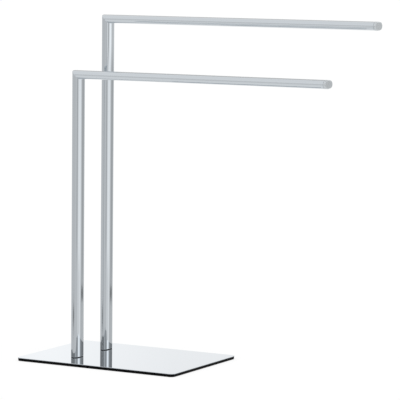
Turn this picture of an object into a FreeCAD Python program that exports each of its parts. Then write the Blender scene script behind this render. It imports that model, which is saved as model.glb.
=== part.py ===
import FreeCAD, Part
import math
import os
import Sketcher

# Freestanding towel stand: two L-shaped towel arms of oval tube, mitred at the corner, stand side
# by side on a weighted base plate with a polished cover.
#
# Frame, in millimetres: the origin is the centre of the base's underside, +X runs along the towel
# rails towards their free ends, +Y from the low front arm to the tall rear arm, +Z up.

SIZES = (
    # alias, value, meaning
    ("base_length", 420.0, "base along X"),
    ("base_width", 300.0, "base along Y"),
    ("base_corner", 12.0, "radius of the base's upright corners"),
    ("cover_thickness", 1.0, "polished cover sheet"),
    ("cover_bevel", 0.4, "bevel of the cover's upper rim"),
    ("cover_overhang", 1.0, "cover's edge beyond the ballast plate"),
    ("plate_thickness", 5.5, "ballast plate"),
    ("plate_bevel", 0.4, "bevel under the ballast plate's rim"),
    ("mat_thickness", 1.2, "non-slip mat"),
    ("mat_inset", 0.6, "mat's edge inside the ballast plate's"),
    ("mat_clearance", 1.5, "mat's holes round the screw heads"),
    ("gasket_thickness", 1.5, "gasket under each post"),
    ("gasket_inset", 0.4, "gasket's edge inside the tube's"),
    ("post_inset", 115.0, "post axis from the base's left end"),
    ("post_spacing", 130.0, "front post axis to rear post axis"),
    ("rear_height", 800.0, "floor to the top of the rear rail"),
    ("front_height", 675.0, "floor to the top of the front rail"),
    ("rear_reach", 707.0, "rear post's outer face to its rail's free end"),
    ("front_reach", 650.0, "front post's outer face to its rail's free end"),
    ("tube_width", 39.0, "oval tube's long way, along Y"),
    ("tube_height", 20.0, "oval tube's short way"),
    ("tube_flank", 65.0, "outer radius of the oval's two long flanks"),
    ("tube_wall", 1.5, "tube wall"),
    ("cap_flange", 5.0, "end cap's part outside the rail"),
    ("cap_bevel", 2.5, "bevel round the end cap's outer face"),
    ("cap_seam", 0.6, "bevel where the end cap meets the rail"),
    ("cap_insert", 16.0, "end cap's part inside the rail"),
    ("cap_wall", 1.8, "end cap's moulded wall"),
    ("cap_gap", 0.3, "end cap's insert to the rail's inner wall"),
    ("rib_width", 1.2, "crush rib on the end cap's insert"),
    ("plug_height", 22.0, "threaded block in each post's foot"),
    ("plug_gap", 0.1, "threaded block to the post's inner wall"),
    ("screw_spacing", 18.0, "screw to screw under one post"),
    ("screw_diameter", 6.0, "screw's outer thread diameter"),
    ("screw_length", 20.0, "countersunk screw's whole length"),
    ("screw_point", 0.8, "bevel of the screw's tip"),
    ("head_diameter", 12.0, "countersunk head"),
    ("head_land", 0.3, "straight rim of the countersunk head"),
    ("socket_width", 4.0, "hexagon socket across its flats"),
    ("socket_depth", 2.4, "hexagon socket"),
    ("hole_clearance", 0.3, "radial clearance round each screw"),
    ("thread_play", 0.05, "radial play of a screw in its threaded block"),
)

# Formulas that several sub-parts share, in terms of the sheet's aliases.
BORE_WIDTH = "(Sizes.tube_width - 2 * Sizes.tube_wall)"
BORE_HEIGHT = "(Sizes.tube_height - 2 * Sizes.tube_wall)"
BORE_FLANK = "(Sizes.tube_flank - Sizes.tube_wall)"
PLATE_LEVEL = "Sizes.mat_thickness"
COVER_LEVEL = "(Sizes.mat_thickness + Sizes.plate_thickness)"
GASKET_LEVEL = "(Sizes.mat_thickness + Sizes.plate_thickness + Sizes.cover_thickness)"
FOOT_LEVEL = "(%s + Sizes.gasket_thickness)" % GASKET_LEVEL
POST_LEFT_OF_CENTRE = "(Sizes.base_length / 2 - Sizes.post_inset)"
MITRE_LEG = "2 * Sizes.tube_height"
MITRE_MARGIN = "Sizes.tube_height / 2"
FIRST_SCREW_BELOW = "(Sizes.post_spacing + Sizes.screw_spacing) / 2"
CLEARANCE_HOLE = "(Sizes.screw_diameter + 2 * Sizes.hole_clearance)"
RIB_SPACING = "(Sizes.tube_width - Sizes.tube_height) / 2"
RIB_OUTER_SIDE = "((%s + Sizes.rib_width) / 2)" % RIB_SPACING
RIB_TOP = ("(%s / 2 - %s + sqrt(%s^2 - %s^2))"
           % (BORE_HEIGHT, BORE_FLANK, BORE_FLANK, RIB_OUTER_SIDE))

PARTS_FOLDER = "parts"
CUTTING_KINDS = ("PartDesign::Pocket", "PartDesign::Hole", "PartDesign::Chamfer")
SMALLEST_CUT = 0.01
ON_FACE = 1e-4

doc = FreeCAD.newDocument("TowelStand")


# ---------------------------------------------------------------- sheet of driving sizes

def make_sheet():
    sheet = doc.addObject("Spreadsheet::Sheet", "Sizes")
    for row, (alias, value, meaning) in enumerate(SIZES, start=1):
        sheet.set("A%d" % row, meaning)
        sheet.set("B%d" % row, str(value))
        sheet.setAlias("B%d" % row, alias)
    doc.recompute()
    return sheet


sizes = make_sheet()


def number(formula):
    return float(sizes.evalExpression(formula))


# ---------------------------------------------------------------- bodies, sketches and features

def new_body(label, x=None, y=None, z=None):
    """A body whose local origin stands at the given formulas in the stand's frame."""
    body = doc.addObject("PartDesign::Body", label)
    body.Label = label
    for axis, formula in (("x", x), ("y", y), ("z", z)):
        if formula:
            body.setExpression(".Placement.Base." + axis, formula)
    return body


def origin_feature(body, role):
    return next(item for item in body.Origin.OriginFeatures if item.Role == role)


def new_sketch(body, name, plane):
    sketch = body.newObject("Sketcher::SketchObject", name)
    sketch.AttachmentSupport = [(origin_feature(body, plane), "")]
    sketch.MapMode = "FlatFace"
    return sketch


def dimension(sketch, name, kind, references, formula):
    index = sketch.addConstraint(Sketcher.Constraint(kind, *references, number(formula)))
    sketch.renameConstraint(index, name)
    sketch.setExpression("Constraints." + name, formula)


def rounded_rectangle(sketch, name, across, up, corner):
    """Closed outline centred on the sketch's origin."""
    radius = number(corner)
    centre_x = number(across) / 2 - radius
    centre_y = number(up) / 2 - radius
    first = sketch.GeometryCount
    for turn, (side_x, side_y) in enumerate(((1, 1), (-1, 1), (-1, -1), (1, -1))):
        centre = FreeCAD.Vector(side_x * centre_x, side_y * centre_y, 0)
        circle = Part.Circle(centre, FreeCAD.Vector(0, 0, 1), radius)
        start = turn * math.pi / 2
        sketch.addGeometry(Part.ArcOfCircle(circle, start, start + math.pi / 2))
    arcs = [first + turn for turn in range(4)]
    lines = [first + 4 + turn for turn in range(4)]
    for turn in range(4):
        leaving = sketch.Geometry[arcs[turn]].EndPoint
        arriving = sketch.Geometry[arcs[(turn + 1) % 4]].StartPoint
        sketch.addGeometry(Part.LineSegment(leaving, arriving))
    for turn in range(4):
        following = arcs[(turn + 1) % 4]
        sketch.addConstraint(Sketcher.Constraint("Tangent", arcs[turn], 2, lines[turn], 1))
        sketch.addConstraint(Sketcher.Constraint("Tangent", lines[turn], 2, following, 1))
        level = "Horizontal" if turn % 2 == 0 else "Vertical"
        sketch.addConstraint(Sketcher.Constraint(level, lines[turn]))
    for arc in arcs[1:]:
        sketch.addConstraint(Sketcher.Constraint("Equal", arcs[0], arc))
    sketch.addConstraint(Sketcher.Constraint("Symmetric", arcs[0], 3, arcs[2], 3, -1, 1))
    dimension(sketch, name + "_corner", "Radius", (arcs[0],), corner)
    dimension(sketch, name + "_across", "DistanceX", (lines[1], 1, lines[3], 1), across)
    dimension(sketch, name + "_up", "DistanceY", (lines[2], 1, lines[0], 1), up)


def oval(sketch, name, long, short, flank, upright=False):
    """Oval of two end arcs and two flatter flank arcs, centred on the sketch's origin.

    The flanks' radius is given. The end arcs' radius follows from it, because all four meet
    tangentially: four times the flank radius times the short way, less both ways squared, over
    four times twice the flank radius less the long way.
    """
    end = ("((4 * (%s) * (%s) - (%s)^2 - (%s)^2) / (8 * (%s) - 4 * (%s)))"
           % (flank, short, long, short, flank, long))
    end_reach = "(%s) / 2 - %s" % (long, end)
    flank_reach = "(%s) - (%s) / 2" % (flank, short)
    end_offset = number(end_reach)
    flank_offset = number(flank_reach)
    swing = math.atan2(end_offset, flank_offset)
    quarter = math.pi / 2
    turned = quarter if upright else 0.0
    first = sketch.GeometryCount
    for turn in range(4):
        at_end = turn % 2 == 0
        facing = turned + turn * quarter
        offset = end_offset if at_end else -flank_offset
        radius = number(end if at_end else flank)
        half = quarter - swing if at_end else swing
        centre = FreeCAD.Vector(offset * math.cos(facing), offset * math.sin(facing), 0)
        circle_line = Part.Circle(centre, FreeCAD.Vector(0, 0, 1), radius)
        sketch.addGeometry(Part.ArcOfCircle(circle_line, facing - half, facing + half))
    arcs = [first + turn for turn in range(4)]
    long_axis, short_axis = (-2, -1) if upright else (-1, -2)
    sketch.addConstraint(Sketcher.Constraint("Tangent", arcs[0], 2, arcs[1], 1))
    for turn in (1, 2, 3):
        following = arcs[(turn + 1) % 4]
        sketch.addConstraint(Sketcher.Constraint("Coincident", arcs[turn], 2, following, 1))
    for turn, axis in enumerate((short_axis, long_axis, short_axis)):
        one, other = arcs[turn], arcs[turn + 1]
        sketch.addConstraint(Sketcher.Constraint("Symmetric", one, 2, other, 2, axis))
    for one, other in ((arcs[0], arcs[2]), (arcs[1], arcs[3])):
        sketch.addConstraint(Sketcher.Constraint("Equal", one, other))
    dimension(sketch, name + "_flank", "Radius", (arcs[1],), flank)
    along, across = ("DistanceY", "DistanceX") if upright else ("DistanceX", "DistanceY")
    flank_ends = (-1, 1, arcs[1], 3) if upright else (arcs[1], 3, -1, 1)
    dimension(sketch, name + "_end_reach", along, (-1, 1, arcs[0], 3), end_reach)
    dimension(sketch, name + "_flank_reach", across, flank_ends, flank_reach)


def circle(sketch, name, diameter, left=None, below=None):
    """Circle to the left of and below the sketch's origin, or on its axes where not given."""
    centre_x = -number(left) if left else 0.0
    centre_y = -number(below) if below else 0.0
    centre = FreeCAD.Vector(centre_x, centre_y, 0)
    round_line = Part.Circle(centre, FreeCAD.Vector(0, 0, 1), number(diameter) / 2)
    index = sketch.addGeometry(round_line)
    dimension(sketch, name + "_diameter", "Diameter", (index,), diameter)
    if left:
        dimension(sketch, name + "_left", "DistanceX", (index, 3, -1, 1), left)
    else:
        sketch.addConstraint(Sketcher.Constraint("PointOnObject", index, 3, -2))
    if below:
        dimension(sketch, name + "_below", "DistanceY", (index, 3, -1, 1), below)
    else:
        sketch.addConstraint(Sketcher.Constraint("PointOnObject", index, 3, -1))


def closed_path(sketch, points):
    """Joined straight lines through points, each constrained to meet the next."""
    first = sketch.GeometryCount
    vectors = [FreeCAD.Vector(x, y, 0) for x, y in points]
    for index, start in enumerate(vectors):
        sketch.addGeometry(Part.LineSegment(start, vectors[(index + 1) % len(vectors)]))
    lines = list(range(first, first + len(vectors)))
    for index, line in enumerate(lines):
        following = lines[(index + 1) % len(lines)]
        sketch.addConstraint(Sketcher.Constraint("Coincident", line, 2, following, 1))
    return lines


def pad(body, name, sketch, length, reverse=False):
    feature = body.newObject("PartDesign::Pad", name)
    feature.Profile = sketch
    feature.setExpression("Length", length)
    feature.Reversed = reverse
    doc.recompute()
    return feature


def pocket(body, name, sketch, length, reverse=False, both_sides=False):
    feature = body.newObject("PartDesign::Pocket", name)
    feature.Profile = sketch
    feature.setExpression("Length", length)
    feature.Reversed = reverse
    if both_sides:
        feature.SideType = "Symmetric"
    doc.recompute()
    return feature


def edges_in_plane(shape, axis, level):
    """Names of the edges that lie whole in the plane where the coordinate is level."""
    names = []
    for index, edge in enumerate(shape.Edges, start=1):
        reach = [getattr(edge.BoundBox, axis + side) for side in ("Min", "Max")]
        if max(abs(value - level) for value in reach) < ON_FACE:
            names.append("Edge%d" % index)
    return names


def bevel(body, name, axis, level, size):
    """Bevel on every edge of the end face where the coordinate is level."""
    base = body.Tip
    feature = body.newObject("PartDesign::Chamfer", name)
    feature.Base = (base, edges_in_plane(base.Shape, axis, level))
    feature.setExpression("Size", size)
    doc.recompute()


def repeat_along_y(body, name, feature, spacing, spacing_of_pairs=None):
    """Two copies at one spacing, and the pair again at a second one; no feature: the whole body."""
    pattern = body.newObject("PartDesign::LinearPattern", name)
    if feature:
        pattern.Originals = [feature]
    else:
        pattern.TransformMode = "Whole shape"
    pattern.Direction = (origin_feature(body, "Y_Axis"), [""])
    pattern.setExpression("Length", spacing)
    pattern.Occurrences = 2
    if spacing_of_pairs:
        pattern.Direction2 = (origin_feature(body, "Y_Axis"), [""])
        pattern.setExpression("Length2", spacing_of_pairs)
        pattern.Occurrences2 = 2
    body.Tip = pattern
    doc.recompute()


# ---------------------------------------------------------------- base

def base_slab(label, level, thickness, inset):
    """Rounded slab of the base's outline, drawn in by inset all round."""
    body = new_body(label, z=level)
    outline = new_sketch(body, label + "_outline", "XY_Plane")
    across = "Sizes.base_length - 2 * %s" % inset
    up = "Sizes.base_width - 2 * %s" % inset
    rounded_rectangle(outline, "slab", across, up, "Sizes.base_corner - %s" % inset)
    pad(body, label + "_slab", outline, thickness)
    return body


def pierce_under_posts(body, diameter, thickness):
    """One hole under each of the four screws."""
    sketch = new_sketch(body, body.Label + "_hole_place", "XY_Plane")
    circle(sketch, "hole", diameter, POST_LEFT_OF_CENTRE, FIRST_SCREW_BELOW)
    hole = pocket(body, body.Label + "_hole", sketch, "2 * " + thickness, reverse=True)
    name = body.Label + "_holes"
    repeat_along_y(body, name, hole, "Sizes.screw_spacing", "Sizes.post_spacing")


def build_base_cover():
    body = base_slab("base_cover", COVER_LEVEL, "Sizes.cover_thickness", "0")
    top = number("Sizes.cover_thickness")
    bevel(body, "cover_rim", "Z", top, "Sizes.cover_bevel")
    pierce_under_posts(body, CLEARANCE_HOLE, "Sizes.cover_thickness")
    return body


def build_base_plate():
    """Ballast plate with countersunk holes opening downwards."""
    body = base_slab("base_plate", PLATE_LEVEL, "Sizes.plate_thickness", "Sizes.cover_overhang")
    bevel(body, "plate_rim", "Z", 0.0, "Sizes.plate_bevel")
    sketch = new_sketch(body, "countersink_place", "XY_Plane")
    circle(sketch, "hole", CLEARANCE_HOLE, POST_LEFT_OF_CENTRE, FIRST_SCREW_BELOW)
    doc.recompute()
    hole = body.newObject("PartDesign::Hole", "countersink")
    hole.Profile = sketch
    doc.recompute()
    hole.Reversed = True
    hole.DepthType = "ThroughAll"
    hole.HoleCutType = "Countersink"
    hole.HoleCutCountersinkAngle = 90.0
    hole.setExpression("Diameter", CLEARANCE_HOLE)
    hole.setExpression("HoleCutDiameter", "Sizes.head_diameter + 2 * Sizes.hole_clearance")
    doc.recompute()
    repeat_along_y(body, "countersinks", hole, "Sizes.screw_spacing", "Sizes.post_spacing")
    return body


def build_base_mat():
    inset = "(Sizes.cover_overhang + Sizes.mat_inset)"
    body = base_slab("base_mat", "0", "Sizes.mat_thickness", inset)
    access = "(Sizes.head_diameter + 2 * Sizes.mat_clearance)"
    pierce_under_posts(body, access, "Sizes.mat_thickness")
    return body


def build_base_screws():
    """Four countersunk hexagon-socket screws, heads flush with the ballast plate's underside."""
    body = new_body("base_screws", "-" + POST_LEFT_OF_CENTRE, "-" + FIRST_SCREW_BELOW, PLATE_LEVEL)
    shank = number("Sizes.screw_diameter") / 2
    head = number("Sizes.head_diameter") / 2
    land = number("Sizes.head_land")
    tip = number("Sizes.screw_length")
    point = number("Sizes.screw_point")
    profile = new_sketch(body, "screw_profile", "XZ_Plane")
    corners = ((0, 0), (head, 0), (head, land), (shank, land + head - shank),
               (shank, tip - point), (shank - point, tip), (0, tip))
    lines = closed_path(profile, corners)
    for line in (lines[0], lines[5]):
        profile.addConstraint(Sketcher.Constraint("Horizontal", line))
    for line in (lines[1], lines[3]):
        profile.addConstraint(Sketcher.Constraint("Vertical", line))
    profile.addConstraint(Sketcher.Constraint("PointOnObject", lines[5], 2, -2))
    profile.addConstraint(Sketcher.Constraint("Coincident", lines[0], 1, -1, 1))
    dimension(profile, "head", "Distance", (lines[0],), "Sizes.head_diameter / 2")
    dimension(profile, "land", "Distance", (lines[1],), "Sizes.head_land")
    dimension(profile, "cone_rise", "DistanceY", (lines[2], 1, lines[2], 2),
              "(Sizes.head_diameter - Sizes.screw_diameter) / 2")
    dimension(profile, "cone_run", "DistanceX", (lines[2], 2, lines[2], 1),
              "(Sizes.head_diameter - Sizes.screw_diameter) / 2")
    dimension(profile, "length", "DistanceY", (lines[6], 2, lines[6], 1), "Sizes.screw_length")
    dimension(profile, "point_rise", "DistanceY", (lines[4], 1, lines[4], 2), "Sizes.screw_point")
    dimension(profile, "point_run", "DistanceX", (lines[4], 2, lines[4], 1), "Sizes.screw_point")
    turned = body.newObject("PartDesign::Revolution", "screw_blank")
    turned.Profile = profile
    turned.ReferenceAxis = (profile, ["V_Axis"])
    turned.Angle = 360.0
    doc.recompute()
    socket = new_sketch(body, "socket_outline", "XY_Plane")
    hexagon(socket, "Sizes.socket_width")
    pocket(body, "socket", socket, "Sizes.socket_depth", reverse=True)
    repeat_along_y(body, "screws", None, "Sizes.screw_spacing", "Sizes.post_spacing")
    return body


def hexagon(sketch, flats):
    """Regular hexagon round the sketch's origin, measured across its flats."""
    reach = number(flats) / math.sqrt(3)
    turns = [math.pi / 3 * index for index in range(6)]
    lines = closed_path(sketch, [(reach * math.cos(t), reach * math.sin(t)) for t in turns])
    guide = Part.Circle(FreeCAD.Vector(0, 0, 0), FreeCAD.Vector(0, 0, 1), reach)
    ring = sketch.addGeometry(guide, True)
    sketch.addConstraint(Sketcher.Constraint("Coincident", ring, 3, -1, 1))
    for line in lines:
        sketch.addConstraint(Sketcher.Constraint("PointOnObject", line, 1, ring))
    for line in lines[1:]:
        sketch.addConstraint(Sketcher.Constraint("Equal", lines[0], line))
    sketch.addConstraint(Sketcher.Constraint("PointOnObject", lines[0], 1, -1))
    dimension(sketch, "corner_circle", "Diameter", (ring,), "2 * %s / sqrt(3)" % flats)


# ---------------------------------------------------------------- arms

def mitre_triangle(sketch, corner_x, corner_y, toward_x, toward_y):
    """Right-angled cutter whose long side is the mitre line; its legs run away from the corner."""
    leg = number(MITRE_LEG)
    x = number(corner_x)
    y = number(corner_y)
    lines = closed_path(sketch, ((x, y), (x + toward_x * leg, y), (x, y + toward_y * leg)))
    sketch.addConstraint(Sketcher.Constraint("Horizontal", lines[0]))
    sketch.addConstraint(Sketcher.Constraint("Vertical", lines[2]))
    sketch.addConstraint(Sketcher.Constraint("Equal", lines[0], lines[2]))
    dimension(sketch, "leg", "Distance", (lines[0],), MITRE_LEG)
    return lines


def tube_outlines(section, upright=False):
    oval(section, "outer", "Sizes.tube_width", "Sizes.tube_height", "Sizes.tube_flank", upright)
    oval(section, "bore", BORE_WIDTH, BORE_HEIGHT, BORE_FLANK, upright)


def inset_oval(section, name, inset, upright=False):
    """The tube's outer outline, drawn in by inset all round."""
    long = "Sizes.tube_width - 2 * " + inset
    short = "Sizes.tube_height - 2 * " + inset
    oval(section, name, long, short, "Sizes.tube_flank - " + inset, upright)


def build_post(label, side, height):
    """Upright tube, cut off at 45 degrees under its rail."""
    body = new_body(label, "-" + POST_LEFT_OF_CENTRE, side + "Sizes.post_spacing / 2", FOOT_LEVEL)
    section = new_sketch(body, label + "_section", "XY_Plane")
    tube_outlines(section, upright=True)
    length = "(%s - %s)" % (height, FOOT_LEVEL)
    pad(body, label + "_tube", section, length)
    mitre = new_sketch(body, label + "_mitre_line", "XZ_Plane")
    corner_x = "Sizes.tube_height"
    corner_y = "%s + %s" % (length, MITRE_MARGIN)
    lines = mitre_triangle(mitre, corner_x, corner_y, -1, -1)
    dimension(mitre, "corner_x", "DistanceX", (-1, 1, lines[0], 1), corner_x)
    dimension(mitre, "corner_y", "DistanceY", (-1, 1, lines[0], 1), corner_y)
    pocket(body, label + "_mitre", mitre, "2 * Sizes.tube_width", both_sides=True)
    return body


def build_rail(label, side, height, reach):
    """Level tube, cut off at 45 degrees over its post and open at its free end."""
    body = new_body(label, "-%s - Sizes.tube_height / 2" % POST_LEFT_OF_CENTRE,
                    side + "Sizes.post_spacing / 2", height + " - Sizes.tube_height / 2")
    section = new_sketch(body, label + "_section", "YZ_Plane")
    tube_outlines(section)
    pad(body, label + "_tube", section, "%s - Sizes.cap_flange" % reach)
    mitre = new_sketch(body, label + "_mitre_line", "XZ_Plane")
    lines = mitre_triangle(mitre, "-" + MITRE_MARGIN, "-Sizes.tube_height", 1, 1)
    dimension(mitre, "corner_x", "DistanceX", (lines[0], 1, -1, 1), MITRE_MARGIN)
    dimension(mitre, "corner_y", "DistanceY", (lines[0], 1, -1, 1), "Sizes.tube_height")
    pocket(body, label + "_mitre", mitre, "2 * Sizes.tube_width", both_sides=True)
    return body


def build_end_cap(label, side, height, reach):
    """Moulded plug: rounded flange outside, hollow insert with crush ribs inside the rail."""
    body = new_body(label, "%s - %s - Sizes.tube_height / 2 - Sizes.cap_flange"
                    % (reach, POST_LEFT_OF_CENTRE),
                    side + "Sizes.post_spacing / 2", height + " - Sizes.tube_height / 2")
    face = new_sketch(body, label + "_face", "YZ_Plane")
    inset_oval(face, "face", "0")
    pad(body, label + "_flange", face, "Sizes.cap_flange")
    flange = number("Sizes.cap_flange")
    bevel(body, label + "_rim", "X", flange, "Sizes.cap_bevel")
    bevel(body, label + "_seam", "X", 0.0, "Sizes.cap_seam")
    insert = new_sketch(body, label + "_insert_section", "YZ_Plane")
    insert_inset = "(Sizes.tube_wall + Sizes.cap_gap)"
    inset_oval(insert, "insert", insert_inset)
    pad(body, label + "_insert", insert, "Sizes.cap_insert", reverse=True)
    hollow = new_sketch(body, label + "_hollow_section", "YZ_Plane")
    inset_oval(hollow, "hollow", "(%s + Sizes.cap_wall)" % insert_inset)
    pocket(body, label + "_hollow", hollow, "Sizes.cap_insert")
    add_crush_ribs(body, label)
    return body


def add_crush_ribs(body, label):
    """Ribs above and below the insert that reach the rail's inner wall with their outer corners."""
    section = new_sketch(body, label + "_rib_section", "YZ_Plane")
    width = number("Sizes.rib_width")
    near = number(RIB_SPACING) / 2 - width / 2
    top = number(RIB_TOP)
    root = top - number("Sizes.cap_gap") - number("Sizes.cap_wall") / 2
    lines = closed_path(section, ((near, root), (near + width, root), (near + width, top), (near, top)))
    for line in (lines[0], lines[2]):
        section.addConstraint(Sketcher.Constraint("Horizontal", line))
    for line in (lines[1], lines[3]):
        section.addConstraint(Sketcher.Constraint("Vertical", line))
    dimension(section, "rib_width", "Distance", (lines[0],), "Sizes.rib_width")
    dimension(section, "rib_near", "DistanceX", (-1, 1, lines[0], 1),
              "(%s - Sizes.rib_width) / 2" % RIB_SPACING)
    dimension(section, "rib_top", "DistanceY", (-1, 1, lines[2], 1), RIB_TOP)
    dimension(section, "rib_root", "DistanceY", (-1, 1, lines[0], 1),
              RIB_TOP + " - Sizes.cap_gap - Sizes.cap_wall / 2")
    rib = pad(body, label + "_rib", section, "Sizes.cap_insert", reverse=True)
    both = body.newObject("PartDesign::MultiTransform", label + "_ribs")
    both.Originals = [rib]
    mirrors = []
    for plane in ("XZ_Plane", "XY_Plane"):
        mirror = body.newObject("PartDesign::Mirrored", "%s_rib_mirror_%s" % (label, plane[:2]))
        mirror.MirrorPlane = (origin_feature(body, plane), [""])
        mirrors.append(mirror)
    both.Transformations = mirrors
    body.Tip = both
    doc.recompute()


def foot_layer(label, side, level, thickness, inset):
    """Block or sheet of the tube's outline, drawn in by inset."""
    body = new_body(label, "-" + POST_LEFT_OF_CENTRE, side + "Sizes.post_spacing / 2", level)
    section = new_sketch(body, label + "_section", "XY_Plane")
    inset_oval(section, "outline", inset, upright=True)
    pad(body, label + "_blank", section, thickness)
    return body


def drill_foot(body, thickness, hole_diameter):
    """Two holes for the screws, side by side along Y."""
    sketch = new_sketch(body, body.Label + "_hole_place", "XY_Plane")
    circle(sketch, "hole", hole_diameter, below="Sizes.screw_spacing / 2")
    hole = pocket(body, body.Label + "_hole", sketch, "2 * " + thickness, reverse=True)
    repeat_along_y(body, body.Label + "_holes", hole, "Sizes.screw_spacing")


def build_foot_gasket(label, side):
    body = foot_layer(label, side, GASKET_LEVEL, "Sizes.gasket_thickness", "Sizes.gasket_inset")
    drill_foot(body, "Sizes.gasket_thickness", CLEARANCE_HOLE)
    return body


def build_foot_plug(label, side):
    inset = "(Sizes.tube_wall + Sizes.plug_gap)"
    body = foot_layer(label, side, FOOT_LEVEL, "Sizes.plug_height", inset)
    drill_foot(body, "Sizes.plug_height", "(Sizes.screw_diameter + 2 * Sizes.thread_play)")
    return body


def build_arm(name, side):
    height = "Sizes.%s_height" % name
    reach = "Sizes.%s_reach" % name
    return [
        build_foot_gasket(name + "_foot_gasket", side),
        build_foot_plug(name + "_foot_plug", side),
        build_post(name + "_post", side, height),
        build_rail(name + "_rail", side, height, reach),
        build_end_cap(name + "_end_cap", side, height, reach),
    ]


# ---------------------------------------------------------------- checks and files

def check(bodies):
    for item in doc.Objects:
        if "Invalid" in item.State or "Error" in item.State:
            raise RuntimeError("%s failed: %s" % (item.Label, item.State))
        base = getattr(item, "BaseFeature", None)
        if item.TypeId in CUTTING_KINDS and base.Shape.Volume - item.Shape.Volume < SMALLEST_CUT:
            raise RuntimeError("%s removes nothing" % item.Label)
    for body in bodies:
        if body.Shape.isNull() or not body.Shape.isValid():
            raise RuntimeError("%s has no valid shape" % body.Label)


def write(bodies):
    os.makedirs(PARTS_FOLDER, exist_ok=True)
    for body in bodies:
        body.Shape.exportStep("%s/%s.step" % (PARTS_FOLDER, body.Label))
        print("%-20s solids %d  volume %.1f" % (body.Label, len(body.Shape.Solids), body.Shape.Volume))


def build():
    bodies = [build_base_mat(), build_base_plate(), build_base_cover(), build_base_screws()]
    bodies += build_arm("front", "-")
    bodies += build_arm("rear", "")
    doc.recompute()
    check(bodies)
    write(bodies)


build()
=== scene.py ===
import math
import bmesh
import bpy
from mathutils import Matrix, Vector


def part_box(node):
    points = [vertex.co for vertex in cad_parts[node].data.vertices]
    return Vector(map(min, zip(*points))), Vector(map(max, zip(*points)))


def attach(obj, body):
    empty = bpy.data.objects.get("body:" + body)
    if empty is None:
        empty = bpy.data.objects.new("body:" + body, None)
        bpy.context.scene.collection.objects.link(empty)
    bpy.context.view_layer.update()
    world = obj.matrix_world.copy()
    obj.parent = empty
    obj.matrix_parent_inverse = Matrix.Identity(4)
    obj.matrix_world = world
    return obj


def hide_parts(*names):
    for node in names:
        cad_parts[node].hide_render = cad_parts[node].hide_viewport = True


# Freestanding towel stand: two L-shaped arms of polished oval tube on a weighted base plate.
# Everything is in metres, +X along the rails, +Y from the front arm to the rear arm, +Z up.

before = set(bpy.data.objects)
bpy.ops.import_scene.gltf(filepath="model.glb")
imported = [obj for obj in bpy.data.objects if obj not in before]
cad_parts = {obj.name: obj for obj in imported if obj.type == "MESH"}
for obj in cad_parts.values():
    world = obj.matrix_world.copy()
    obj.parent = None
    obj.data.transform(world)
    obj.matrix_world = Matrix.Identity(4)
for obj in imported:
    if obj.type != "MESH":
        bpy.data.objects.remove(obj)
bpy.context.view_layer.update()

# Oval tube
TUBE_WIDTH = 0.039
TUBE_HEIGHT = 0.020
TUBE_FLANK = 0.065
TUBE_WALL = 0.0015
END_STEPS = 90
FLANK_STEPS = 20
WELD_SEAM = 0.00018
TUBE_EDGE = 0.0002
SUPPORT = 0.0006

# Base
BASE_CORNER = 0.012
CORNER_STEPS = 24
COVER_RIM = 0.0004
PLATE_BEVEL = 0.0004
PLATE_SETBACK = 0.001
MAT_SETBACK = 0.0016
GASKET_SETBACK = 0.0004
SHANK_HOLE = 0.0033
HEAD_HOLE = 0.0063
COUNTERSINK = 0.003
KEY_HOLE = 0.0075
SCREW_OFFSET = 0.009
SCREW_ROWS = (-0.074, -0.056, 0.056, 0.074)
POST_X = -0.095
POST_Y = {"front": -0.065, "rear": 0.065}
HOLE_STEPS = 48

# End cap
CAP_RIM = 0.0025
CAP_SEAM = 0.0008
CAP_GAP = 0.0003
CAP_WALL = 0.0018
CAP_INSERT = 0.016
RIB_PLACE = 0.00475
RIB_LEVEL = 0.00767
RIB_WIDTH = 0.0012
RIB_SINK = 0.0002

# Screws
SCREW_HEAD = 0.012
HEAD_LAND = 0.0003
SCREW_THREAD = 0.006
THREAD_ROOT = 0.0049
THREAD_PITCH = 0.001
THREAD_PLAIN = 0.0012
THREAD_TAPER = 0.0018
THREAD_STEPS = 32
THREAD_SINK = 0.0002
THREAD_CREST_GAP = 0.00005
THREAD_CREST = 0.1
THREAD_FLANK = 0.4
TIP_CHAMFER = 0.0006
TIP_BARE = 0.0010
SCREW_LENGTH = 0.020
SOCKET_FLATS = 0.004
SOCKET_DEPTH = 0.0024
SCREW_LEVEL = 0.0012


# ---------------------------------------------------------------- outlines and edges

def end_radius(width, height, flank):
    """Radius of the oval's two ends, which meet its flanks without a kink."""
    return (4 * flank * height - width ** 2 - height ** 2) / (8 * flank - 4 * width)


def oval(bm, inset=0.0, z=0.0):
    """Ring of edges: the tube's outline drawn in by inset, its long way along Y."""
    width = TUBE_WIDTH - 2 * inset
    height = TUBE_HEIGHT - 2 * inset
    flank = TUBE_FLANK - inset
    end = end_radius(width, height, flank)
    end_reach = width / 2 - end
    flank_reach = flank - height / 2
    swing = math.atan2(end_reach, flank_reach)
    start = (flank * math.cos(swing) - flank_reach, -flank * math.sin(swing), z)
    first = bmesh.ops.create_vert(bm, co=start)["vert"][0]
    arcs = (
        ((-flank_reach, 0, z), 2 * swing, FLANK_STEPS),
        ((0, end_reach, z), math.pi - 2 * swing, END_STEPS),
        ((flank_reach, 0, z), 2 * swing, FLANK_STEPS),
        ((0, -end_reach, z), math.pi - 2 * swing, END_STEPS),
    )
    ring = [first]
    last = first
    for centre, angle, steps in arcs:
        known = set(bm.verts)
        spun = bmesh.ops.spin(bm, geom=[last], cent=centre, axis=(0, 0, 1), angle=angle,
                              steps=steps)
        last = [item for item in spun["geom_last"] if isinstance(item, bmesh.types.BMVert)][0]
        ring += [vert for vert in bm.verts if vert not in known]
    bmesh.ops.remove_doubles(bm, verts=ring, dist=1e-6)
    ring = [vert for vert in ring if vert.is_valid]
    return list({edge for vert in ring for edge in vert.link_edges})


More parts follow.
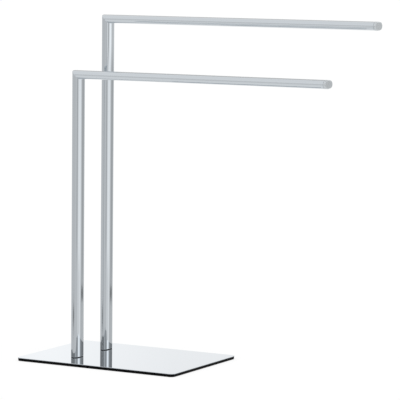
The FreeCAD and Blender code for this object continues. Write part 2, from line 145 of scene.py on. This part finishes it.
def slab_outline(bm, low, high, z, corner):
    """Ring of edges: a rectangle with rounded corners."""
    corners = [(low.x, low.y, z), (high.x, low.y, z), (high.x, high.y, z), (low.x, high.y, z)]
    verts = [bmesh.ops.create_vert(bm, co=co)["vert"][0] for co in corners]
    face = bmesh.ops.contextual_create(bm, geom=verts)["faces"][0]
    known = set(bm.edges) - set(face.edges)
    bmesh.ops.bevel(bm, geom=verts, offset=corner, offset_type="OFFSET", segments=CORNER_STEPS,
                    profile=0.5, affect="VERTICES", material=-1)
    edges = [edge for edge in bm.edges if edge not in known]
    bmesh.ops.delete(bm, geom=list({face for edge in edges for face in edge.link_faces}),
                     context="FACES_ONLY")
    return edges


def circle(bm, x, y, z, radius, steps=HOLE_STEPS):
    place = Matrix.Translation((x, y, z))
    made = bmesh.ops.create_circle(bm, cap_ends=False, segments=steps, radius=radius, matrix=place)
    return list({edge for vert in made["verts"] for edge in vert.link_edges})


def rings(edges):
    """The separate closed rings among the edges, longest first."""
    left = set(edges)
    found = []
    while left:
        ring = {left.pop()}
        grown = True
        while grown:
            near = {edge for vert in {v for e in ring for v in e.verts} for edge in vert.link_edges}
            grown = near & left
            ring |= grown
            left -= grown
        found.append(sorted(ring, key=lambda edge: edge.index))
    return sorted(found, key=lambda ring: -sum(edge.calc_length() for edge in ring))


def raise_by(bm, geom, vec):
    verts = [item for item in geom if isinstance(item, bmesh.types.BMVert)]
    bmesh.ops.translate(bm, verts=verts, vec=vec)
    return verts


def push(bm, faces, vec):
    """Extrudes faces without leaving any behind and returns the moved ones."""
    edges = list({edge for face in faces for edge in face.edges})
    grown = bmesh.ops.extrude_face_region(bm, geom=faces + edges)["geom"]
    raise_by(bm, grown, vec)
    return [item for item in grown if isinstance(item, bmesh.types.BMFace)]


def thick_sheet(bm, edges, thickness):
    """Fills between the rings of edges, so that holes stay open, and gives the sheet its body."""
    filled = bmesh.ops.triangle_fill(bm, edges=edges, use_beauty=True, normal=(0, 0, 1))["geom"]
    faces = [item for item in filled if isinstance(item, bmesh.types.BMFace)]
    raised = bmesh.ops.extrude_face_region(bm, geom=faces, use_keep_orig=True)["geom"]
    raise_by(bm, raised, (0, 0, thickness))


def lay_along_x(bm, y, z):
    """Turns what was made upright to lie along +X at the given place."""
    turn = Matrix.Rotation(math.pi / 2, 3, "Y")
    bmesh.ops.rotate(bm, verts=bm.verts[:], cent=(0, 0, 0), matrix=turn)
    raise_by(bm, bm.verts[:], (0, y, z))


def round_edges(bm, edges, size, steps):
    bmesh.ops.bevel(bm, geom=edges, offset=size, offset_type="OFFSET", segments=steps,
                    profile=0.5, affect="EDGES", material=-1)


def cut(bm, point, normal, clear=False):
    """Cuts everything at a plane; with clear, takes away what lies on the normal's side."""
    everything = bm.verts[:] + bm.edges[:] + bm.faces[:]
    found = bmesh.ops.bisect_plane(bm, geom=everything, dist=1e-7, plane_co=point, plane_no=normal,
                                   clear_outer=clear, clear_inner=False)
    return [item for item in found["geom_cut"] if isinstance(item, bmesh.types.BMEdge)]


# ---------------------------------------------------------------- pieces

def finish_piece(name, bm, material, nodes, sharp=40.0, even=False):
    """A piece that stands for CAD nodes, with smooth shading broken only at its sharp edges."""
    bmesh.ops.recalc_face_normals(bm, faces=bm.faces[:])
    mesh = bpy.data.meshes.new(name)
    bm.to_mesh(mesh)
    bm.free()
    mesh.polygons.foreach_set("use_smooth", [True] * len(mesh.polygons))
    mesh.set_sharp_from_angle(angle=math.radians(sharp))
    mesh.materials.append(material)
    piece = bpy.data.objects.new(name, mesh)
    bpy.context.scene.collection.objects.link(piece)
    if even:
        shading = piece.modifiers.new("even_shading", "WEIGHTED_NORMAL")
        shading.mode = "FACE_AREA"
        shading.weight = 100
        shading.keep_sharp = True
    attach(piece, "root")
    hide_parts(*nodes)
    return piece


def tube_along_z(bm, low, high):
    """Hollow oval tube between two levels, without end caps' detail."""
    ring = bmesh.ops.bridge_loops(bm, edges=oval(bm, 0.0, low) + oval(bm, TUBE_WALL, low))["faces"]
    raised = bmesh.ops.extrude_face_region(bm, geom=ring, use_keep_orig=True)["geom"]
    raise_by(bm, raised, (0, 0, high - low))


def mitre(bm, point, normal):
    """Cuts the tube at a slant, closes its wall there and breaks the outer edge."""
    normal = Vector(normal).normalized()
    cut(bm, Vector(point) - SUPPORT * normal, normal)
    open_edges = cut(bm, point, normal, clear=True)
    outer, inner = rings(open_edges)
    bmesh.ops.bridge_loops(bm, edges=outer + inner)
    round_edges(bm, outer, WELD_SEAM, 2)


def outer_rim(bm, axis, level):
    """The outer ring of edges of the tube's end face where the coordinate is level."""
    flat = [edge for edge in bm.edges
            if all(abs(vert.co[axis] - level) < 1e-6 for vert in edge.verts)
            and any(abs(abs(face.normal[axis]) - 1) > 1e-3 for face in edge.link_faces)]
    return rings(flat)[0]


def make_post(arm):
    low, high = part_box(arm + "_post")
    bm = bmesh.new()
    tube_along_z(bm, low.z, high.z + TUBE_HEIGHT)
    bm.normal_update()
    round_edges(bm, outer_rim(bm, 2, low.z), TUBE_EDGE, 2)
    cut(bm, (0, 0, low.z + SUPPORT), (0, 0, 1))
    raise_by(bm, bm.verts[:], (POST_X, POST_Y[arm], 0))
    mitre(bm, (low.x, 0, high.z), (1, 0, 1))
    return finish_piece(arm + "_post_tube", bm, chrome_tube, [arm + "_post"])


def make_rail(arm):
    low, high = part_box(arm + "_rail")
    bm = bmesh.new()
    tube_along_z(bm, low.x - TUBE_HEIGHT, high.x)
    bm.normal_update()
    round_edges(bm, outer_rim(bm, 2, high.x), TUBE_EDGE, 2)
    cut(bm, (0, 0, high.x - SUPPORT), (0, 0, 1))
    lay_along_x(bm, POST_Y[arm], (low.z + high.z) / 2)
    mitre(bm, (low.x, 0, high.z), (-1, 0, -1))
    return finish_piece(arm + "_rail_tube", bm, chrome_tube, [arm + "_rail"])


def make_end_cap(arm):
    """Plug with a rounded flange outside and a hollow insert with four crush ribs in the rail."""
    low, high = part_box(arm + "_end_cap")
    seam = low.x + CAP_INSERT
    bm = bmesh.new()
    outline = oval(bm, 0.0, seam)
    face = bmesh.ops.contextual_create(bm, geom=outline)["faces"]
    raised = bmesh.ops.extrude_face_region(bm, geom=face, use_keep_orig=True)["geom"]
    raise_by(bm, raised, (0, 0, high.x - seam))
    bm.normal_update()
    round_edges(bm, outer_rim(bm, 2, high.x), CAP_RIM, 8)
    round_edges(bm, outer_rim(bm, 2, seam), CAP_SEAM, 3)
    bm.normal_update()
    back = [face for face in bm.faces
            if abs(face.normal.z) > 0.999 and abs(face.calc_center_median().z - seam) < 1e-6]
    inset = TUBE_WALL + CAP_GAP - CAP_SEAM
    bmesh.ops.inset_region(bm, faces=back, thickness=inset, use_even_offset=True)
    back = push(bm, back, (0, 0, -CAP_INSERT))
    bmesh.ops.inset_region(bm, faces=back, thickness=CAP_WALL, use_even_offset=True)
    push(bm, back, (0, 0, CAP_INSERT))
    for level in (-RIB_LEVEL, RIB_LEVEL):
        for place in (-RIB_PLACE, RIB_PLACE):
            middle = Matrix.Translation((level, place, seam + RIB_SINK - CAP_INSERT / 2))
            size = Matrix.Diagonal((RIB_WIDTH, RIB_WIDTH, CAP_INSERT, 1))
            bmesh.ops.create_cube(bm, size=1.0, matrix=middle @ size)
    lay_along_x(bm, POST_Y[arm], (low.z + high.z) / 2)
    return finish_piece(arm + "_cap", bm, chrome_cap, [arm + "_end_cap"], even=True)


def make_cover():
    low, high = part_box("base_cover")
    bm = bmesh.new()
    edges = slab_outline(bm, low, high, low.z, BASE_CORNER)
    for y in SCREW_ROWS:
        edges += circle(bm, POST_X, y, low.z, SHANK_HOLE)
    thick_sheet(bm, edges, high.z - low.z)
    bm.normal_update()
    round_edges(bm, outer_rim(bm, 2, high.z), COVER_RIM, 4)
    return finish_piece("cover_sheet", bm, chrome_cover, ["base_cover"], even=True)


def make_ballast():
    low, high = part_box("base_plate")
    bm = bmesh.new()
    corner = BASE_CORNER - PLATE_SETBACK
    under = slab_outline(bm, low, high, low.z, corner)
    over = slab_outline(bm, low, high, high.z, corner)
    under_holes = []
    over_holes = []
    for y in SCREW_ROWS:
        mouth = circle(bm, POST_X, y, low.z, HEAD_HOLE)
        throat = circle(bm, POST_X, y, low.z + COUNTERSINK, SHANK_HOLE)
        top = circle(bm, POST_X, y, high.z, SHANK_HOLE)
        bmesh.ops.bridge_loops(bm, edges=mouth + throat)
        bmesh.ops.bridge_loops(bm, edges=throat + top)
        under_holes += mouth
        over_holes += top
    bmesh.ops.bridge_loops(bm, edges=under + over)
    bmesh.ops.triangle_fill(bm, edges=under + under_holes, use_beauty=True, normal=(0, 0, -1))
    bmesh.ops.triangle_fill(bm, edges=over + over_holes, use_beauty=True, normal=(0, 0, 1))
    bm.normal_update()
    round_edges(bm, outer_rim(bm, 2, low.z), PLATE_BEVEL, 3)
    return finish_piece("ballast_plate", bm, black_ballast, ["base_plate"],
                        even=True)


def make_mat():
    low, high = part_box("base_mat")
    bm = bmesh.new()
    edges = slab_outline(bm, low, high, low.z, BASE_CORNER - MAT_SETBACK)
    for y in SCREW_ROWS:
        edges += circle(bm, POST_X, y, low.z, KEY_HOLE)
    thick_sheet(bm, edges, high.z - low.z)
    return finish_piece("non_slip_mat", bm, mat_rubber, ["base_mat"])


def make_gasket(arm):
    low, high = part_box(arm + "_foot_gasket")
    bm = bmesh.new()
    edges = oval(bm, GASKET_SETBACK, low.z)
    for y in (-SCREW_OFFSET, SCREW_OFFSET):
        edges += circle(bm, 0, y, low.z, SHANK_HOLE)
    thick_sheet(bm, edges, high.z - low.z)
    raise_by(bm, bm.verts[:], (POST_X, POST_Y[arm], 0))
    return finish_piece(arm + "_gasket", bm, gasket_rubber, [arm + "_foot_gasket"])


def make_screws():
    """Four countersunk socket screws with a rolled thread."""
    bm = bmesh.new()
    foot = SCREW_LEVEL
    head = SCREW_HEAD / 2
    root = THREAD_ROOT / 2
    crest = SCREW_THREAD / 2
    cone_end = foot + HEAD_LAND + head - crest
    tip = foot + SCREW_LENGTH
    mouth = circle(bm, 0, 0, foot, SOCKET_FLATS / math.sqrt(3), 6)
    rim = circle(bm, 0, 0, foot, head)
    bmesh.ops.triangle_fill(bm, edges=mouth + rim, use_beauty=True, normal=(0, 0, -1))
    push(bm, bmesh.ops.contextual_create(bm, geom=mouth)["faces"], (0, 0, SOCKET_DEPTH))
    last = rim
    start = cone_end + THREAD_PLAIN
    levels = ((foot + HEAD_LAND, head), (cone_end, crest), (start, crest),
              (cone_end + THREAD_TAPER, root), (tip - TIP_CHAMFER, root),
              (tip, root - TIP_CHAMFER))
    for z, radius in levels:
        ring = circle(bm, 0, 0, z, radius)
        bmesh.ops.bridge_loops(bm, edges=last + ring)
        last = ring
    bmesh.ops.contextual_create(bm, geom=last)
    turns = int((tip - TIP_BARE - start - THREAD_PITCH) / THREAD_PITCH)
    flank = THREAD_FLANK * THREAD_PITCH
    flat = THREAD_CREST * THREAD_PITCH
    foot_radius = root - THREAD_SINK
    crest_radius = crest - THREAD_CREST_GAP
    corners = ((foot_radius, start), (crest_radius, start + flank),
               (crest_radius, start + flank + flat), (foot_radius, start + 2 * flank + flat))
    verts = [bmesh.ops.create_vert(bm, co=(x, 0, z))["vert"][0] for x, z in corners]
    ridge = bmesh.ops.contextual_create(bm, geom=verts)["faces"]
    bmesh.ops.spin(bm, geom=ridge, cent=(0, 0, 0), axis=(0, 0, 1), angle=2 * math.pi * turns,
                   steps=THREAD_STEPS * turns, dvec=(0, 0, THREAD_PITCH / THREAD_STEPS))
    raise_by(bm, bm.verts[:], (POST_X, SCREW_ROWS[0], 0))
    one = bm.verts[:] + bm.edges[:] + bm.faces[:]
    for y in SCREW_ROWS[1:]:
        copy = bmesh.ops.duplicate(bm, geom=one)["geom"]
        raise_by(bm, copy, (0, y - SCREW_ROWS[0], 0))
    return finish_piece("socket_screws", bm, screw_steel, ["base_screws"],
                        sharp=30.0)


# ---------------------------------------------------------------- finishes

def new_material(name):
    material = bpy.data.materials.new(name)
    material.use_nodes = True
    nodes = material.node_tree.nodes
    shader = nodes["Principled BSDF"]
    return material, nodes, material.node_tree.links, shader


def object_noise(nodes, links, scale, stretch=(1, 1, 1), detail=2.0):
    """Noise on the piece's own coordinates, drawn out along an axis where stretch is small."""
    where = nodes.new("ShaderNodeTexCoord")
    mapping = nodes.new("ShaderNodeMapping")
    mapping.inputs["Scale"].default_value = stretch
    noise = nodes.new("ShaderNodeTexNoise")
    noise.inputs["Scale"].default_value = scale
    noise.inputs["Detail"].default_value = detail
    links.new(where.outputs["Object"], mapping.inputs["Vector"])
    links.new(mapping.outputs["Vector"], noise.inputs["Vector"])
    return noise.outputs["Fac"]


def spread(nodes, links, value, low, high):
    """A value from 0 to 1 laid out between low and high."""
    span = nodes.new("ShaderNodeMapRange")
    span.inputs["To Min"].default_value = low
    span.inputs["To Max"].default_value = high
    links.new(value, span.inputs["Value"])
    return span.outputs["Result"]


def add_bump(nodes, links, shader, height, strength, distance):
    bump = nodes.new("ShaderNodeBump")
    bump.inputs["Strength"].default_value = strength
    bump.inputs["Distance"].default_value = distance
    links.new(height, bump.inputs["Height"])
    links.new(bump.outputs["Normal"], shader.inputs["Normal"])


def shade(nodes, links, shader, tone, dark, light):
    """Colours the surface between two shades by a value from 0 to 1."""
    ramp = nodes.new("ShaderNodeValToRGB")
    ramp.color_ramp.elements[0].color = dark + (1,)
    ramp.color_ramp.elements[1].color = light + (1,)
    links.new(tone, ramp.inputs["Fac"])
    links.new(ramp.outputs["Color"], shader.inputs["Base Color"])


def chrome(name, colour, roughness, polish):
    """Bright plating: a mirror with faint smears and the fine lines of the polishing wheel."""
    material, nodes, links, shader = new_material(name)
    shader.inputs["Base Color"].default_value = colour + (1,)
    shader.inputs["Metallic"].default_value = 1.0
    smear = object_noise(nodes, links, 22.0, detail=4.0)
    links.new(spread(nodes, links, smear, *roughness), shader.inputs["Roughness"])
    lines = object_noise(nodes, links, 900.0, stretch=polish, detail=3.0)
    add_bump(nodes, links, shader, lines, 0.02, 0.00002)
    return material


chrome_tube = chrome("chrome_tube", (0.540, 0.575, 0.605), (0.02, 0.06), (0.05, 1, 0.05))
chrome_cover = chrome("chrome_cover", (0.538, 0.575, 0.612), (0.01, 0.04), (0.05, 1, 1))
chrome_cap = chrome("chrome_cap", (0.53, 0.56, 0.58), (0.22, 0.32), (1, 1, 1))


def ballast_paint():
    material, nodes, links, shader = new_material("black_ballast")
    shader.inputs["Base Color"].default_value = (0.002, 0.002, 0.0024, 1)
    shader.inputs["Specular IOR Level"].default_value = 0.04
    blotch = object_noise(nodes, links, 60.0, detail=3.0)
    links.new(spread(nodes, links, blotch, 0.45, 0.6), shader.inputs["Roughness"])
    peel = object_noise(nodes, links, 1400.0, detail=1.0)
    add_bump(nodes, links, shader, peel, 0.3, 0.00005)
    return material


def rubber(name, dark, light, grain, strength):
    material, nodes, links, shader = new_material(name)
    tone = object_noise(nodes, links, 120.0, detail=3.0)
    shade(nodes, links, shader, tone, dark, light)
    shader.inputs["Specular IOR Level"].default_value = 0.2
    links.new(spread(nodes, links, tone, 0.7, 0.9), shader.inputs["Roughness"])
    cells = object_noise(nodes, links, grain, detail=1.0)
    add_bump(nodes, links, shader, cells, strength, 0.0001)
    return material


def steel(name, dark, light, roughness):
    material, nodes, links, shader = new_material(name)
    tone = object_noise(nodes, links, 300.0, detail=4.0)
    shade(nodes, links, shader, tone, dark, light)
    shader.inputs["Metallic"].default_value = 1.0
    links.new(spread(nodes, links, tone, *roughness), shader.inputs["Roughness"])
    marks = object_noise(nodes, links, 2500.0, stretch=(1, 1, 0.2), detail=2.0)
    add_bump(nodes, links, shader, marks, 0.15, 0.00003)
    return material


black_ballast = ballast_paint()
mat_rubber = rubber("mat_rubber", (0.004, 0.004, 0.004), (0.012, 0.012, 0.012), 1500.0, 0.8)
gasket_rubber = rubber("gasket_rubber", (0.018, 0.018, 0.02), (0.03, 0.03, 0.032), 2500.0, 0.3)
plain_steel = steel("plain_steel", (0.42, 0.42, 0.42), (0.56, 0.56, 0.55), (0.25, 0.4))
screw_steel = steel("screw_steel", (0.52, 0.53, 0.56), (0.68, 0.68, 0.66), (0.22, 0.36))


# ---------------------------------------------------------------- the stand

make_cover()
make_ballast()
make_mat()
make_screws()
for arm in ("front", "rear"):
    make_gasket(arm)
    make_post(arm)
    make_rail(arm)
    make_end_cap(arm)
    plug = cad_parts[arm + "_foot_plug"]
    plug.data.materials.clear()
    plug.data.materials.append(plain_steel)


# ---------------------------------------------------------------- studio

# Brightness of the room that the polished metal sees, by azimuth: 0 is -Y and 90 is +X. It stands
# for no real studio: the tones were set until the metal looked right from the photograph's angle.
FLOOR_SIDE = ((-180, 1.0), (-152, 1.0), (-120, 0.86), (-95, 0.82), (-40, 0.79), (10, 0.80),
              (40, 0.86), (56, 0.80), (69, 0.58), (84, 0.68), (98, 0.92), (112, 1.10), (124, 1.24),
              (138, 1.28), (145, 0.84), (152, 0.57), (160, 0.57), (168, 0.78), (174, 1.0),
              (180, 1.0))
HORIZON = ((-180, 1.1), (-156, 1.1), (-150.5, 1.12), (-147, 1.25), (-130, 1.1), (-105, 0.50),
           (-90, 0.38), (20, 0.38), (36, 0.60), (56, 0.9), (72, 0.55), (108, 0.55), (124, 0.85),
           (132, 1.98), (138, 1.5), (144, 0.5), (165, 0.32), (172, 0.6), (180, 1.1))
# Brightness of the rest by elevation, and how far each of the two rows above counts there.
OVERHEAD = ((-90, 1.06), (-16, 1.04), (2, 1.05), (30, 1.10), (60, 1.08), (90, 1.0))
HORIZON_SHARE = ((8.0, 0.0), (8.6, 1.0), (10.4, 1.0), (11.0, 0.0))
FLOOR_SHARE = ((-11.5, 0.0), (-10.5, 1.0), (-1.0, 1.0), (0.5, 0.0))
BRIGHTEST = 2.0
# Soft-edged panels: azimuth, its half width, elevation, its half height, brightness.
PANELS = (
    (122, 14, -9.4, 2.0, 1.02),
    (156, 14, -9.6, 1.8, 0.74),
    (72, 15, -9.4, 2.2, 0.84),
    (155, 8, -8.14, 0.15, 0.22),
    (-16, 20, -8.68, 0.22, 0.28),
    (83, 9, -1.0, 1.7, 1.30),
    (119, 12, -1.0, 1.7, 0.66),
    (140, 7, -1.0, 1.7, 1.45),
    (162, 13, -1.0, 1.7, 0.82),
    (-151, 11, 17, 5.2, 0.55),
    (-151, 11, 4, 3.4, 0.65),
    (175, 20, 54, 14, 0.10),
)
# Share of a panel's half width and half height over which its edge fades.
PANEL_EDGE = 0.35
# Ground: half its side, its level below the mat, its tone, and the glow that the camera sees.
FLOOR_SIZE = 60.0
FLOOR_GAP = 0.0002
FLOOR_TONE = 0.95
FLOOR_GLOW = 1.03
GLOW_SHARE = 0.78
# Camera: direction that it looks from and roll in degrees, point looked at, distance, lens in mm.
CAMERA_AZIMUTH = 28.956
CAMERA_ELEVATION = 5.956
CAMERA_ROLL = 0.578
CAMERA_TARGET = (0.1878, 0.0065, 0.3852)
CAMERA_DISTANCE = 5.630
CAMERA_LENS = 221.99


def node_maker(tree):
    """Short ways to add a Math node, a row of tones and a mix to a node tree."""
    nodes, links = tree.nodes, tree.links

    def connect(value, socket):
        if isinstance(value, (int, float, tuple)):
            socket.default_value = value
        else:
            links.new(value, socket)

    def calculate(operation, *values):
        node = nodes.new("ShaderNodeMath")
        node.operation = operation
        for socket, value in zip(node.inputs, values):
            connect(value, socket)
        return node.outputs["Value"]

    def tones(value, stops):
        node = nodes.new("ShaderNodeValToRGB")
        elements = node.color_ramp.elements
        elements.remove(elements[-1])
        elements[0].position = stops[0][0]
        elements[0].color = (stops[0][1],) * 3 + (1,)
        for position, tone in stops[1:]:
            elements.new(position).color = (tone,) * 3 + (1,)
        links.new(value, node.inputs["Fac"])
        return node.outputs["Color"]

    def mix(share, first, second):
        node = nodes.new("ShaderNodeMix")
        node.data_type = "RGBA"
        for value, socket in ((share, 0), (first, 6), (second, 7)):
            connect(value, node.inputs[socket])
        return node.outputs[2]

    return calculate, tones, mix


def studio_world():
    """White all round for the camera and dull surfaces; polished metal sees a soft room."""
    world = bpy.data.worlds.new("studio")
    world.use_nodes = True
    bpy.context.scene.world = world
    nodes, links = world.node_tree.nodes, world.node_tree.links
    nodes.clear()
    calculate, tones, mix = node_maker(world.node_tree)
    direction = nodes.new("ShaderNodeTexCoord").outputs["Generated"]
    split = nodes.new("ShaderNodeSeparateXYZ")
    links.new(direction, split.inputs["Vector"])
    turn = calculate("ARCTAN2", split.outputs["X"], calculate("MULTIPLY", split.outputs["Y"], -1.0))
    around = calculate("MULTIPLY_ADD", turn, 0.5 / math.pi, 0.5)
    height = calculate("MULTIPLY_ADD", split.outputs["Z"], 0.5, 0.5)

    def by_azimuth(stops):
        return tones(around, [(turned / 360 + 0.5, tone / BRIGHTEST) for turned, tone in stops])

    def by_elevation(stops, scale=1.0):
        return tones(height, [(0.5 + 0.5 * math.sin(math.radians(raised)), tone / scale)
                              for raised, tone in stops])

    room = mix(by_elevation(HORIZON_SHARE), by_elevation(OVERHEAD, BRIGHTEST), by_azimuth(HORIZON))
    room = mix(by_elevation(FLOOR_SHARE), room, by_azimuth(FLOOR_SIDE))
    raised = calculate("ARCSINE", split.outputs["Z"])

    def within(value, middle, half):
        """1 inside the span, falling softly to 0 at its ends, in degrees."""
        away = calculate("ABSOLUTE", calculate("SUBTRACT", value, math.radians(middle)))
        slope = 1 / math.radians(PANEL_EDGE * half)
        share = calculate("MULTIPLY_ADD", away, -slope, slope * math.radians(half) + 0.5)
        share.node.use_clamp = True
        return share

    for turned, half_width, level, half_height, tone in PANELS:
        across = within(turn, turned, half_width)
        share = calculate("MULTIPLY", across, within(raised, level, half_height))
        room = mix(share, room, (tone / BRIGHTEST,) * 3 + (1,))
    seen = nodes.new("ShaderNodeBackground")
    links.new(room, seen.inputs["Color"])
    seen.inputs["Strength"].default_value = BRIGHTEST
    white = nodes.new("ShaderNodeBackground")
    white.inputs["Color"].default_value = (1, 1, 1, 1)
    rays = nodes.new("ShaderNodeLightPath")
    mirrored = calculate("MAXIMUM", rays.outputs["Is Glossy Ray"],
                         rays.outputs["Is Transmission Ray"])
    both = nodes.new("ShaderNodeMixShader")
    links.new(mirrored, both.inputs[0])
    links.new(white.outputs[0], both.inputs[1])
    links.new(seen.outputs[0], both.inputs[2])
    output = nodes.new("ShaderNodeOutputWorld")
    links.new(both.outputs[0], output.inputs["Surface"])


def studio_floor():
    """Plain white ground that takes a faint shadow; the polished metal sees the room instead.

    It is clear from below, so that the underside shows.
    """
    bm = bmesh.new()
    bmesh.ops.create_grid(bm, x_segments=1, y_segments=1, size=FLOOR_SIZE)
    raise_by(bm, bm.verts[:], (0, 0, -FLOOR_GAP))
    mesh = bpy.data.meshes.new("studio_floor")
    bm.to_mesh(mesh)
    bm.free()
    material = bpy.data.materials.new("studio_floor")
    material.use_nodes = True
    mesh.materials.append(material)
    ground = bpy.data.objects.new("studio_floor", mesh)
    bpy.context.scene.collection.objects.link(ground)
    ground.visible_glossy = False

    nodes, links = material.node_tree.nodes, material.node_tree.links
    nodes.clear()
    calculate, _, _ = node_maker(material.node_tree)

    def blend(share, first, second):
        node = nodes.new("ShaderNodeMixShader")
        for socket, output in zip(node.inputs, (share, first.outputs[0], second.outputs[0])):
            links.new(output, socket)
        return node

    dull = nodes.new("ShaderNodeBsdfDiffuse")
    dull.inputs["Color"].default_value = (FLOOR_TONE,) * 3 + (1,)
    bright = nodes.new("ShaderNodeEmission")
    bright.inputs["Strength"].default_value = FLOOR_GLOW
    rays = nodes.new("ShaderNodeLightPath")
    share = calculate("MULTIPLY", rays.outputs["Is Camera Ray"], GLOW_SHARE)
    above = blend(share, dull, bright)
    below = nodes.new("ShaderNodeBsdfTransparent")
    side = nodes.new("ShaderNodeNewGeometry").outputs["Backfacing"]
    output = nodes.new("ShaderNodeOutputMaterial")
    links.new(blend(side, above, below).outputs[0], output.inputs["Surface"])


studio_world()
studio_floor()


def photo_camera():
    """Looks from the photograph's angle."""
    azimuth = math.radians(CAMERA_AZIMUTH)
    elevation = math.radians(CAMERA_ELEVATION)
    roll = math.radians(CAMERA_ROLL)
    back = Vector((math.sin(azimuth) * math.cos(elevation),
                   -math.cos(azimuth) * math.cos(elevation), math.sin(elevation)))
    right = Vector((math.cos(azimuth), math.sin(azimuth), 0))
    up = back.cross(right)
    turned_right = math.cos(roll) * right + math.sin(roll) * up
    turned_up = math.cos(roll) * up - math.sin(roll) * right
    place = Matrix((turned_right, turned_up, back)).transposed().to_4x4()
    place.translation = Vector(CAMERA_TARGET) + CAMERA_DISTANCE * back
    data = bpy.data.cameras.new("photo_camera")
    data.sensor_width = 36.0
    data.lens = CAMERA_LENS
    data.clip_end = 200.0
    camera = bpy.data.objects.new("photo_camera", data)
    bpy.context.scene.collection.objects.link(camera)
    camera.matrix_world = place
    bpy.context.scene.camera = camera


photo_camera()

bpy.context.scene.view_settings.view_transform = "Standard"
